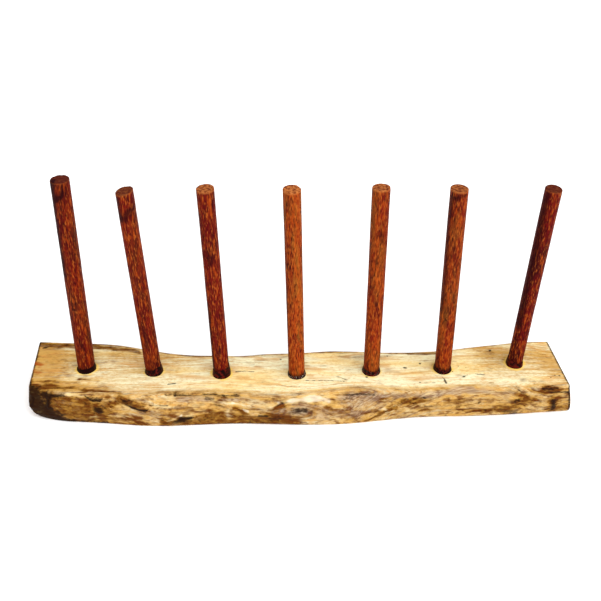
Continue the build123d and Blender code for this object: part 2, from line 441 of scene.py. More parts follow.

# Dark stains on a peg's front, and painted shade down the left side of some pegs, as streaks with (x,
# height) ends in its own frame after the peg's number.
PEG_STAINS_AND_SIDE_SHADE = [
    (1, (-4.5, 157.0, -4.0, 166.0, 2.4, 1.1)),
    (1, (-5.0, 152.0, 1.5, 156.5, 1.7, 1.2)),
    (1, (2.8, 158.0, 2.8, 165.0, 1.0, 0.8)),
    # painted shade down the left side, away from the light
    (1, (-5.5, 90.0, -5.5, 150.0, 2.4, 0.9)),
    (1, (1.0, 24.0, -1.5, 34.0, 2.0, 0.6)),
    (2, (-1.0, 143.0, 3.5, 150.0, 3.0, 0.8)),
    # painted shade down the left side, away from the light
    (2, (-4.5, 140.0, -4.5, 158.0, 1.6, 0.7)),
    (2, (-1.0, 30.0, 0.5, 42.0, 2.0, 0.6)),
    # painted shade down the left side, away from the light
    (3, (-5.0, 8.0, -5.2, 70.0, 0.9, 0.8)),
    (3, (0.0, 106.0, -1.0, 118.0, 2.4, 0.6)),
    # painted shade down the left side, away from the light
    (4, (-6.0, 20.0, -6.0, 150.0, 1.0, 0.5)),
    (5, (0.5, 122.0, 1.0, 140.0, 1.6, 0.5)),
    # painted shade down the left side, away from the light
    (6, (-5.5, 60.0, -5.5, 158.0, 1.8, 0.7)),
    (6, (-3.0, 158.0, 3.0, 160.0, 1.6, 0.7)),
    # painted shade down the left side, away from the light
    (7, (-4.5, 40.0, -4.5, 158.0, 2.2, 0.8)),
]

# Each collar's own looks: how much one side is higher, that side's direction in degrees, white specks and
# how red it is.
COLLAR_LOOKS = [
    (0.55, 330.0, 0.0, 0.10),
    (0.50, 340.0, 0.0, 0.45),
    (0.35, 345.0, 0.0, 0.60),
    (0.20, 90.0, 0.7, 0.40),
    (0.25, 180.0, 0.1, 0.55),
    (0.20, 200.0, 0.0, 0.50),
    (0.35, 170.0, 0.0, 0.75),
]
COLLAR_STEPS = 72  # points round a collar

LIGHT_LEVEL = 1.27  # how bright a white card would be on the slab, with 1 as the brightest that shows
FLOOR_HALF = 6.0  # half the floor's side, in metres
TOP_FINISH = (0.0235, 0.0275)  # heights in metres between which the edges' finish turns into the top's


def paint(red, green, blue):
    """The reflectance of a finish that shows as this colour in the studio, 0 to 255 a channel."""
    shown = np.array([red, green, blue]) / 255
    linear = np.where(shown <= 0.04045, shown / 12.92, ((shown + 0.055) / 1.055) ** 2.4)
    return tuple(float(value) for value in linear / LIGHT_LEVEL)


# ---------------------------------------------------------------- formulas on whole arrays


def soft_step(low, high, value):
    """0 below low, 1 above high, and the cubic 3t^2 - 2t^3 between."""
    share = np.clip((value - low) / (high - low), 0, 1)
    return share * share * (3 - 2 * share)


def blend(a, b, share):
    """The straight mix a + (b - a) * share."""
    return a + (b - a) * share


def held_above(low, value, softness):
    """The value, eased so that it never falls below low.

    It is low + softness * log(1 + exp((value - low) / softness)).
    """
    return low + softness * np.logaddexp(0, (value - low) / softness)


def natural_spline(points, x):
    """Height over x of the natural cubic spline through the points.

    A span is the usual cubic in its end heights h and bends m: with b the share of the span passed and
    a = 1 - b, it is a*h0 + b*h1 + ((a^3 - a)*m0 + (b^3 - b)*m1) * width^2 / 6.
    """
    at, height = np.array(points, float).T
    width = np.diff(at)
    inner = np.arange(1, len(at) - 1)
    system = np.eye(len(at))
    system[inner, inner - 1] = width[:-1]
    system[inner, inner] = 2 * (width[:-1] + width[1:])
    system[inner, inner + 1] = width[1:]
    turn = np.zeros(len(at))
    turn[inner] = 6 * np.diff(np.diff(height) / width)
    bend = np.linalg.solve(system, turn)
    span = np.clip(np.searchsorted(at, x) - 1, 0, len(width) - 1)
    b = (x - at[span]) / width[span]
    a = 1 - b
    curve = (a**3 - a) * bend[span] + (b**3 - b) * bend[span + 1]
    return a * height[span] + b * height[span + 1] + curve * width[span] ** 2 / 6


def rough(a, b, seed, octaves=2):
    """Seeded noise from -1 to 1 over two coordinates, one lump to a unit.

    Random heights stand on a square lattice and are joined by the cubic 3t^2 - 2t^3 both ways. Each
    further octave is twice as fine and half as high.
    """
    lattice = np.random.default_rng(seed).uniform(-1, 1, (NOISE_TABLE, NOISE_TABLE))
    total = np.zeros(np.broadcast(a, b).shape)
    for octave in range(octaves):
        u = np.asarray(a * 2**octave + 17.3 * octave)
        v = np.asarray(b * 2**octave + 9.1 * octave)
        row = np.floor(u).astype(int)
        column = np.floor(v).astype(int)
        s = soft_step(0, 1, u - row)
        t = soft_step(0, 1, v - column)
        this_row, next_row = row % NOISE_TABLE, (row + 1) % NOISE_TABLE
        this_column, next_column = column % NOISE_TABLE, (column + 1) % NOISE_TABLE
        near = blend(lattice[this_row, this_column], lattice[next_row, this_column], s)
        far = blend(lattice[this_row, next_column], lattice[next_row, next_column], s)
        total += blend(near, far, t) / 2**octave
    return total / (2 - 2 / 2**octaves)


def streak_distance(a, b, streak):
    """Distance from each point (a, b) to the line between the streak's two ends, in its half widths."""
    a0, b0, a1, b1, half_width = streak[:5]
    along = np.array([a1 - a0, b1 - b0])
    length = max(float(along @ along), 1e-9)
    share = np.clip(((a - a0) * along[0] + (b - b0) * along[1]) / length, 0, 1)
    return np.hypot(a - a0 - along[0] * share, b - b0 - along[1] * share) / half_width


def streak_sum(a, b, streaks):
    """The streaks' strengths added up, each falling off from its line as exp(-distance^2)."""
    return sum(streak[5] * np.exp(-(streak_distance(a, b, streak) ** 2)) for streak in streaks)


def nearest_gap(a, b, streaks):
    """The least distance to any streak's line in half widths, with weak streaks counted as further off."""
    return np.min([streak_distance(a, b, s) + 1 - s[5] for s in streaks], axis=0)


def stray(a, b, reach_a, reach_b, seed):
    """The two coordinates pushed about by noise, so that lines drawn in them come out wavering."""
    push_a = reach_a * rough(a / 7, b / 4, seed, 2)
    push_b = reach_b * rough(a / 6, b / 4, seed + 1, 3)
    return a + push_a, b + push_b


# ---------------------------------------------------------------- the slab's fields


def wall_share(z):
    """How far up the wall between the two arrises height z is, from 0 to 1."""
    return np.clip((z - FOOT_ARRIS[1]) / (THICKNESS - FOOT_ARRIS[1] - TOP_ARRIS[1]), 0, 1)


def edge_line(foot, top, x, z):
    """y of a natural edge over x at height z: the foot's spline, turning evenly into the top's."""
    return blend(natural_spline(foot, x), natural_spline(top, x), wall_share(z))


def end_line(side, up, across):
    """x of a sawn end, by the shares passed from its foot to its top and from its front to its back."""
    front = blend(FRONT_FOOT[side][0], FRONT_TOP[side][0], up)
    back = blend(BACK_FOOT[side][0], BACK_TOP[side][0], up)
    return blend(front, back, across)


def sides(x, y, z):
    """How far each point belongs to the front edge, the back edge and the top, each from 0 to 1."""
    front = 1 - soft_step(*BOARD_EDGE, y - edge_line(FRONT_FOOT, FRONT_TOP, x, z))
    back = 1 - soft_step(*BOARD_EDGE, edge_line(BACK_FOOT, BACK_TOP, x, z) - y)
    top = soft_step(THICKNESS - 3.0, THICKNESS - 0.4, z) * (1 - front) * (1 - back)
    return front, back, top


def unrolled(x, y, z):
    """Height up the front edge, carried on over the arris and in across the top, and two shares.

    The shares say how far a point's stains are the front edge's and the top's: they change over a ragged
    strip several millimetres wide inside the arris.
    """
    front, back, _ = sides(x, y, z)
    inward = y - edge_line(FRONT_FOOT, FRONT_TOP, x, z)
    upper = soft_step(THICKNESS - 1.6, THICKNESS - 0.2, z)
    height = z + np.maximum(inward - TOP_ARRIS[0], 0) * upper
    strip = soft_step(THICKNESS + 5.5, THICKNESS - 0.5, height + 2.5 * rough(x / 11, height / 4, 61, 3))
    strip = strip * soft_step(20, 26, z) * soft_step(11, 7, inward)
    front = np.maximum(front, strip)
    return height, front, upper * (1 - front) * (1 - back)


def grain_lift(x):
    """Height that the grain has climbed by x along the front edge: the running sum of its climb."""
    at = np.linspace(GRAIN_CLIMB[0][0], GRAIN_CLIMB[-1][0], 400)
    climb = np.interp(at, *np.array(GRAIN_CLIMB).T)
    lift = np.cumsum(climb) * (at[1] - at[0])
    return np.interp(x, at, lift)


def board_ring(x, y, z):
    """How far out each point's ring is: circles round a wavering pith below the slab.

    Near the front edge the rings climb with the grain.
    """
    near_front = np.exp(-np.maximum(y - edge_line(FRONT_FOOT, FRONT_TOP, x, z), 0) / 5.0)
    pith_y = 4.0 * np.sin(x / 55.0) + 2.0 * np.sin(x / 23.0 + 1.0)
    pith_z = -PITH_DEPTH + 3.0 * np.sin(x / 70.0 + 0.6)
    return np.hypot(y - pith_y, z - pith_z) - 0.85 * near_front * grain_lift(x)


def grain(x, y, z):
    """Grain coordinates: along the fibres, out through the rings, and across the board.

    Round each knot the rings give way to ovals about its centre, numbered on from the ring it sits in.
    """
    ring = board_ring(x, y, z)
    across = y + 1.5 * np.sin(x / 40.0 + 0.4)
    drift_x = 3.5 * rough(x / 13, z / 8, 51, 2)
    drift_z = 2.4 * rough(x / 11, z / 8, 52, 2)
    for knot_x, knot_y, knot_z, reach_x, reach in KNOTS:
        away = np.sqrt(
            ((x + drift_x - knot_x) / reach_x) ** 2
            + ((z + drift_z - knot_z) / reach) ** 2
            + ((y - knot_y) / reach) ** 2
        )
        hold = np.exp(-((away / 1.05) ** 4))
        own = board_ring(*np.array([[knot_x], [knot_y], [knot_z]], float))
        ring = blend(ring, own + 0.6 * reach * (away - 0.5), 0.85 * hold)
        across = blend(across, y, hold)
    return x, ring, across


def knot_share(x, y, z):
    """How deep inside a knot each point is: exp(-distance^2) for the nearest one."""
    shares = [
        np.exp(-(((x - a) / reach_x) ** 2 + ((z - c) / reach) ** 2 + ((y - b) / reach) ** 2) * 1.6)
        for a, b, c, reach_x, reach in KNOTS
    ]
    return np.max(shares, axis=0)


def peg_facts():
    """Each peg's numbers from the record: axis, foot point on the slab's top, height, radius and collar."""
    facts = []
    for mount in frame["record"]["mounts"]:
        if mount["name"].startswith("peg_"):
            axis = np.array(mount["axis"])
            middle = np.array(mount["pos_m"]) / MM
            length = mount["dims"]["length_mm"]
            rise = (THICKNESS - middle[2]) / axis[2]
            height = length / 2 - rise + PEG_EDGE
            collar = height - PEG_EDGE - length - SANDED_ABOVE
            facts.append((axis, middle + axis * rise, height, mount["dims"]["r_mm"], collar))
    return facts


PEGS = peg_facts()


def slab_relief(x, y, z):
    """How far the surface stands out from the smooth slab: lumps, ridges along the grain, and hollows."""
    front, back, top = sides(x, y, z)
    _, _, across = grain(x, y, z)
    level = soft_step(0.0, 2.0, z) * 0.9 + 0.1
    lumps = 0.70 * rough(x / 24, z / 12, 3, 2) - 0.20
    course = z - 0.8 * grain_lift(x) + 1.2 * rough(x / 20, z / 8, 8, 2)
    ridges = 0.45 * rough(course / 2.6, x / 34, 5, 2) + 0.25 * rough(course / 1.1, x / 15, 6, 1)
    pits = -0.55 * soft_step(0.25, 0.8, rough(x / 3.4, z / 2.0, 7, 2)) * soft_step(-60, -150, x)
    features = streak_sum(x, z, FRONT_SWELLINGS) - streak_sum(x, z, FRONT_HOLLOWS)
    live_front = lumps + ridges + pits + features
    live_back = 0.7 * rough(x / 24, z / 12, 11, 2) + 0.45 * rough(z / 2.4, x / 30, 12, 2) - 0.30
    planed = 0.05 * rough(across / 3.0, x / 60, 13, 2) - 0.06
    return front * live_front * level + back * live_back * level + top * planed


def slab_stain(x, y, z):
    """Brown and grey weathering from 0 to about 1, and warmth: above 0 round the glue, below 0 for rust."""
    back = sides(x, y, z)[1]
    height, front, top = unrolled(x, y, z)
    wave = rough(x / 14, height / 5, 21, 3)
    at_front = stray(x, height, 2.5, 1.2, 71)
    brown_front = 0.38 - 0.12 * soft_step(40, 90, x) + 0.45 * wave
    brown_front = brown_front + streak_sum(*at_front, FRONT_BROWN)
    grey_front = 0.05 + streak_sum(*at_front, FRONT_GREY) + 0.20 * rough(x / 16, height / 4, 22, 3)
    brown_back = 0.60 + 0.65 * rough(x / 30, z / 9, 23, 3)
    grey_back = 0.25 + 0.55 * rough(x / 26, z / 8, 24, 3)
    on_top = stray(x, y, 2.5, 0.9, 73)
    brown_top = streak_sum(*on_top, TOP_BROWN) + 0.20 * rough(x / 35, y / 9, 25, 3)
    grey_top = streak_sum(*on_top, TOP_GREY) + 0.08 * rough(x / 20, y / 7, 26, 3)
    end = end_share(x, y, z, *END_GRAIN)
    brown = front * brown_front + back * brown_back + top * brown_top + 0.35 * end
    grey = front * grey_front + back * grey_back + top * grey_top
    warm = -top * streak_sum(*on_top, TOP_RUST)
    for (_, foot, _, radius, _), strength in zip(PEGS, GLUE_HALO):
        from_glue = np.hypot(x - foot[0], y - foot[1]) - radius - 1.0
        patchy = 0.75 + 0.8 * rough(x / 4.5, y / 4.5, 31, 2)
        halo = np.exp(-((np.maximum(from_glue, 0) / HALO_WIDTH) ** 2))
        warm = warm + 0.6 * strength * patchy * halo * top
    warm = np.clip(warm, -FIELD_LIMIT, FIELD_LIMIT)
    return np.clip(brown, 0, FIELD_LIMIT), np.clip(grey, 0, FIELD_LIMIT), warm


def slab_depth(x, y, z):
    """Dark stains, tan toning and how deep in a knot each point is."""
    back = sides(x, y, z)[1]
    height, front, top = unrolled(x, y, z)
    lines = streak_sum(*stray(x, height, 1.8, 0.9, 75), FRONT_DARK)
    dark = front * (lines + 0.18 * rough(x / 9, height / 4, 27, 3))
    dark = dark + back * (0.30 + 0.7 * rough(x / 15, z / 6, 28, 3))
    dark = dark + 0.9 * end_share(x, y, z, *END_STAIN)
    tan = top * streak_sum(x, y, TOP_TAN) + 0.8 * (1 - top)
    return np.clip(dark, 0, FIELD_LIMIT), np.clip(tan, 0, FIELD_LIMIT), knot_share(x, y, z)


def end_plane(side, x, y, z):
    """x of a sawn end's plane at each point's y and z."""
    front = edge_line(FRONT_FOOT, FRONT_TOP, x, z)
    back = edge_line(BACK_FOOT, BACK_TOP, x, z)
    return end_line(side, wall_share(z), np.clip((y - front) / (back - front), 0, 1))


def corner_cut(rounding, z):
    """How far a worn lower corner's quarter circle stands back from the end's plane at height z."""
    return rounding - np.sqrt(rounding**2 - np.maximum(rounding - z, 0) ** 2)


def end_share(x, y, z, low, high):
    """How near each point is to a sawn end: 1 up to low millimetres from its plane, 0 from high ones."""
    ends = np.zeros(x.shape)
    for side, way, rounding in zip((0, -1), (1, -1), END_ROUNDING):
        inside = (x - end_plane(side, x, y, z)) * way - corner_cut(rounding, z)
        ends = ends + 1 - soft_step(low, high, inside)
    return np.clip(ends, 0, 1)


def slab_marks(x, y, z):
    """Distance to the nearest dark gap in half widths, pale wood and a painted highlight on the front edge,
    and end grain.
    """
    height, front, top = unrolled(x, y, z)
    gap = np.full(x.shape, FAR_GAP)
    gap = np.where(front > 0.5, nearest_gap(*stray(x, height, 1.8, 0.9, 75), FRONT_GAPS), gap)
    on_top = nearest_gap(*stray(x, y, 1.2, 0.5, 77), TOP_GAPS)
    gap = np.where(top > 0.2, np.minimum(gap, on_top), gap)
    for hole_x, hole_y, radius in WORM_HOLES:
        reach = np.hypot(x - hole_x, y - hole_y) / (radius * WORM_RIM)
        gap = np.where(z > THICKNESS - WORM_DEPTH - 1, np.minimum(gap, reach), gap)
    hole_x, hole_z, radius = FRONT_WORM
    reach = np.hypot(x - hole_x, z - hole_z) / (radius * WORM_RIM)
    gap = np.where(y < 0, np.minimum(gap, reach), gap)
    # Pale wood on the front edge, with a painted highlight over the big knot's brow.
    pale = front * streak_sum(*stray(x, height, 3.0, 1.4, 79), FRONT_PALE_AND_GLARE)
    return np.clip(gap, 0, FAR_GAP), np.clip(pale, 0, FIELD_LIMIT), end_share(x, y, z, *END_GRAIN)


# ---------------------------------------------------------------- meshes


def closed_surface(name, grid, poles=True, smooth_angle=None):
    """A mesh object from a grid of points, rows by columns, with every row a closed loop.

    With poles the first and last rows are single points and close the surface; without, the last row
    joins the first. Every cell of the grid is one quad, and a pole's cells are triangles. The faces are
    turned to point outwards if the enclosed volume comes out negative.
    """
    rows, columns = grid.shape[:2]
    index = np.arange(rows * columns).reshape(rows, columns)
    if poles:
        index = index - (columns - 1)
        index[0] = 0
        index[-1] = (rows - 2) * columns + 1
        points = np.concatenate([grid[:1, 0], grid[1:-1].reshape(-1, 3), grid[-1:, 0]])
        below, above = index[1:-2], index[2:-1]
    else:
        points = grid.reshape(-1, 3)
        below, above = index, np.roll(index, -1, axis=0)
    cells = [below, np.roll(below, -1, axis=1), np.roll(above, -1, axis=1), above]
    quads = np.stack(cells, axis=-1).reshape(-1, 4)
    corner, across = points[quads[:, 0]], points[quads[:, 2]]
    middle = np.cross(points[quads[:, 1]] - points[quads[:, 3]], across - corner)
    inward = float(np.sum((corner + across) * middle)) > 0
    faces = quads.tolist()
    if poles:
        first, last = index[1], index[-2]
        start = np.stack([np.zeros(columns, int), np.roll(first, -1), first], axis=-1)
        finish = np.stack([np.full(columns, index[-1, 0]), last, np.roll(last, -1)], axis=-1)
        faces += start.tolist() + finish.tolist()
    if inward:
        faces = [face[::-1] for face in faces]
    mesh = bpy.data.meshes.new(name)
    mesh.from_pydata((points * MM).tolist(), [], faces)
    mesh.shade_smooth()
    if smooth_angle:
        mesh.set_sharp_from_angle(angle=math.radians(smooth_angle))
    mesh.update()
    piece = bpy.data.objects.new(name, mesh)
    bpy.context.scene.collection.objects.link(piece)
    return piece


def positions(piece):
    """The piece's vertices as x, y and z arrays in millimetres."""
    flat = np.empty(len(piece.data.vertices) * 3, np.float32)
    piece.data.vertices.foreach_get("co", flat)
    return flat.reshape(-1, 3).astype(float).T / MM


def put_field(piece, name, *columns):
    """Stores three values for every vertex, for the finish to read by that name."""
    field = piece.data.attributes.new(name, "FLOAT_VECTOR", "POINT")
    values = np.stack([np.broadcast_to(column, len(piece.data.vertices)) for column in columns], axis=-1)
    field.data.foreach_set("vector", values.astype(np.float32).ravel())


def wall_profile(top_in, top_up):
    """A natural edge from the underside to the top: heights, and how far it swells out from its line.

    Each arris is a quarter of an oval, and the edge between them is half a sine wave.
    """
    foot_in, foot_up = FOOT_ARRIS
    turn = np.linspace(0, math.pi / 2, ARRIS_STEPS)
    climb = np.linspace(0, 1, WALL_STEPS)[1:-1]
    wall = THICKNESS - foot_up - top_up
    last = THICKNESS - top_up + top_up * np.sin(turn)
    rise = [foot_up * (1 - np.cos(turn)), foot_up + wall * climb, last]
    swell = [foot_in * (np.sin(turn) - 1), BELLY * np.sin(math.pi * climb), top_in * (np.cos(turn) - 1)]
    return np.concatenate(rise), np.concatenate(swell)


def section_path():
    """The slab's section as one closed path: share from front to back, height, and front and back swell.

    It runs from the middle of the underside to the front, up the front edge, over the top, down the back
    edge and home.
    """
    front_rise, front_swell = wall_profile(*TOP_ARRIS)
    back_rise, back_swell = wall_profile(*BACK_ARRIS)
    under = np.linspace(0.5, 0, FOOT_STEPS)[:-1]
    over = np.linspace(0, 1, TOP_STEPS)[1:-1]
    home = under[:0:-1]
    foot_in = np.full(len(under), -FOOT_ARRIS[0])
    home_in = np.full(len(home), -FOOT_ARRIS[0])
    share = [under, 0 * front_rise, over, 0 * back_rise + 1, 1 - home]
    height = [0 * under, front_rise, 0 * over + THICKNESS, back_rise[::-1], 0 * home]
    front = [foot_in, front_swell, 0 * over - TOP_ARRIS[0], 0 * back_rise, home_in]
    back = [foot_in, 0 * front_rise, 0 * over - BACK_ARRIS[0], back_swell[::-1], home_in]
    return [np.concatenate(part) for part in (share, height, front, back)]


def slab_grid():
    """The slab as a grid: rows along its length, columns round its section.

    A row's points lie a fixed share of the way between the two ends, and between the two natural edges.
    Near an end the section shrinks by a quarter circle's sagitta, which eases the sawn end's edges, and
    the last rows shrink to the end's middle and close it. Each point's normal is given too, for relief to
    move it along.
    """
    share, height, front_swell, back_swell = section_path()
    inner = np.linspace(0, 1, LENGTH_ROWS)
    eased = inner - 0.006 * np.sin(2 * math.pi * inner)
    close_up = np.linspace(0, 1, CAP_ROWS + 1)[:-1]
    along = np.concatenate([0 * close_up, eased, 0 * close_up + 1])[:, None]
    shrink = np.concatenate([close_up, 0 * eased + 1, close_up[::-1]])[:, None]
    low, high = END_EASING
    left, right = (end_line(side, wall_share(height), share) for side in (0, -1))
    x = blend(left, right, along)
    from_left, from_right = x - left, right - x
    ease_left = low - np.sqrt(np.maximum(low**2 - np.maximum(low - from_left, 0) ** 2, 0))
    ease_right = high - np.sqrt(np.maximum(high**2 - np.maximum(high - from_right, 0) ** 2, 0))
    draw_in = ease_left + ease_right
    front = edge_line(FRONT_FOOT, FRONT_TOP, x, height) - front_swell
    back = edge_line(BACK_FOOT, BACK_TOP, x, height) + back_swell
    y = blend(front, back, share)
    middle_y = blend(front, back, 0.5)
    z = np.broadcast_to(height, x.shape)
    middle_z = THICKNESS / 2
    y = middle_y + (y - middle_y) * shrink * (1 - draw_in / (0.5 * (back - front)))
    z = middle_z + (z - middle_z) * shrink * (1 - draw_in / middle_z)
    x = np.where(along == 0, end_plane(0, x, y, z), np.where(along == 1, end_plane(-1, x, y, z), x))
    for rounding, reach, way in zip(END_ROUNDING, (from_left, from_right), (1, -1)):
        x = x + way * corner_cut(rounding, z) * np.exp(-reach / END_EDGE_REACH)
    grid = np.stack([x, y, z], axis=-1)
    length_way = np.gradient(grid, axis=0)
    round_way = np.roll(grid, -1, axis=1) - np.roll(grid, 1, axis=1)
    normal = np.cross(round_way, length_way)
    normal /= np.maximum(np.linalg.norm(normal, axis=-1, keepdims=True), 1e-9)
    on_body = (shrink > 0.999) * soft_step(0.0, 2.0, np.minimum(from_left, from_right))
    return grid, normal, on_body


def hole_cutters():
    """Plain rods where the slab has its pegs' blind holes and its worm holes."""
    cuts = []
    for axis, foot, _, radius, _ in PEGS:
        cuts.append((foot - axis * HOLE_DEPTH, axis, HOLE_DEPTH + 6.0, radius + HOLE_SLACK, HOLE_SIDES))
    rng = np.random.default_rng(41)
    for hole_x, hole_y, hole_radius in WORM_HOLES:
        tilt = rng.uniform(-0.25, 0.25, 2)
        axis = np.array([tilt[0], tilt[1], 1.0]) / math.hypot(tilt[0], tilt[1], 1.0)
        mouth = np.array([hole_x, hole_y, THICKNESS])
        cuts.append((mouth - axis * WORM_DEPTH, axis, WORM_DEPTH + 2.0, hole_radius, WORM_SIDES))
    worm_x, worm_z, worm_radius = FRONT_WORM
    front_y = float(edge_line(FRONT_FOOT, FRONT_TOP, np.array(worm_x), np.array(worm_z)))
    inward = np.array([0.1, -1.0, 0.05]) / math.hypot(0.1, 1.0, 0.05)
    mouth = np.array([worm_x, front_y, worm_z])
    cuts.append((mouth - inward * WORM_DEPTH, inward, WORM_DEPTH + 4.0, worm_radius, WORM_SIDES))
    return [straight_rod(*cut) for cut in cuts]


def frame_of(axis):
    """Two directions at right angles to the axis, the first as near to +X as it can be."""
    across = np.array([1.0, 0.0, 0.0]) - axis * axis[0]
    across /= np.linalg.norm(across)
    return across, np.cross(axis, across)


def straight_rod(start, axis, length, radius, sides_count):
    """A plain closed rod as a grid: radius times (cos, sin) of the angle, at the start and the end."""
    u, v = frame_of(axis)
    angle = np.linspace(0, 2 * math.pi, sides_count, endpoint=False)[:, None]
    circle = radius * (np.cos(angle) * u + np.sin(angle) * v)
    far = start + axis * length
    rows = [0 * circle + start, start + circle, far + circle, 0 * circle + far]
    return closed_surface("cutter", np.stack(rows))


def cut_away(piece, cutters):
    """Takes the cutters out of the piece for good."""
    collection = bpy.data.collections.new("cutters")
    for cutter in cutters:
        collection.objects.link(cutter)
    modifier = piece.modifiers.new("holes", "BOOLEAN")
    modifier.operation = "DIFFERENCE"
    modifier.solver = "EXACT"
    modifier.operand_type = "COLLECTION"
    modifier.collection = collection
    bpy.context.view_layer.update()
    evaluated = piece.evaluated_get(bpy.context.evaluated_depsgraph_get())
    cut = bpy.data.meshes.new_from_object(evaluated)
    piece.modifiers.clear()
    piece.data = cut
    for cutter in cutters:
        bpy.data.objects.remove(cutter)
    bpy.data.collections.remove(collection)


# ---------------------------------------------------------------- finishes


class Finish:
    """A material under construction, with short calls for the nodes that the finishes use."""

    def __init__(self, name):
        self.material = bpy.data.materials.new(name)
        self.material.use_nodes = True
        self.tree = self.material.node_tree
        self.tree.nodes.clear()
        self.shader = self.tree.nodes.new("ShaderNodeBsdfPrincipled")
        output = self.tree.nodes.new("ShaderNodeOutputMaterial")
        self.tree.links.new(self.shader.outputs[0], output.inputs[0])

    def node(self, kind, links=(), **settings):
        """A new node with its settings, and its inputs given as (input, socket or value) pairs."""
        node = self.tree.nodes.new(kind)
        for key, value in settings.items():
            setattr(node, key, value)
        for key, value in links:
            if isinstance(value, bpy.types.NodeSocket):
                self.tree.links.new(value, node.inputs[key])
            else:
                node.inputs[key].default_value = value
        return node

    def field(self, name):
        """A field stored on the mesh."""
        return self.node("ShaderNodeAttribute", attribute_name=name).outputs["Vector"]

    def split(self, vector):
        """A field's three values."""
        return self.node("ShaderNodeSeparateXYZ", [(0, vector)]).outputs

    def noise(self, vector, scale, detail=2.0, shift=(0, 0, 0)):
        """Soft noise from 0 to 1, with its lumps per unit of the vector given for each direction."""
        inputs = [("Vector", vector), ("Scale", scale), ("Location", shift)]
        mapped = self.node("ShaderNodeMapping", inputs)
        inputs = [("Vector", mapped.outputs[0]), ("Scale", 1.0), ("Detail", detail)]
        return self.node("ShaderNodeTexNoise", inputs).outputs[0]

    def maths(self, operation, a, b=0.0):
        """One step of arithmetic."""
        return self.node("ShaderNodeMath", [(0, a), (1, b)], operation=operation).outputs[0]

    def band(self, value, low, high, out_low=0.0, out_high=1.0):
        """Turns low to high smoothly into out_low to out_high."""
        inputs = [("Value", value), ("From Min", low), ("From Max", high)]
        inputs += [("To Min", out_low), ("To Max", out_high)]
        return self.node("ShaderNodeMapRange", inputs, interpolation_type="SMOOTHSTEP").outputs[0]

    def mix(self, share, a, b):
        """Colour a turned into colour b by a share."""
        node = self.node("ShaderNodeMix", data_type="RGBA", blend_type="MIX", clamp_factor=True)
        for slot, value in ((0, share), (6, a), (7, b)):
            if isinstance(value, bpy.types.NodeSocket):
                self.tree.links.new(value, node.inputs[slot])
            elif slot == 0:
                node.inputs[slot].default_value = value
            else:
                node.inputs[slot].default_value = (*value, 1.0)
        return node.outputs[2]

    def set(self, **values):
        """Sets the shader's own inputs, by name with spaces as underscores."""
        for key, value in values.items():
            socket = self.shader.inputs[key.replace("_", " ")]
            if isinstance(value, bpy.types.NodeSocket):
                self.tree.links.new(value, socket)
            else:
                socket.default_value = value

    def bump(self, height, depth_mm):
        """Raises the surface by up to depth_mm where height is 1."""
        inputs = [("Height", height), ("Distance", depth_mm * MM), ("Strength", 1.0)]
        node = self.node("ShaderNodeBump", inputs)
        self.tree.links.new(node.outputs[0], self.shader.inputs["Normal"])


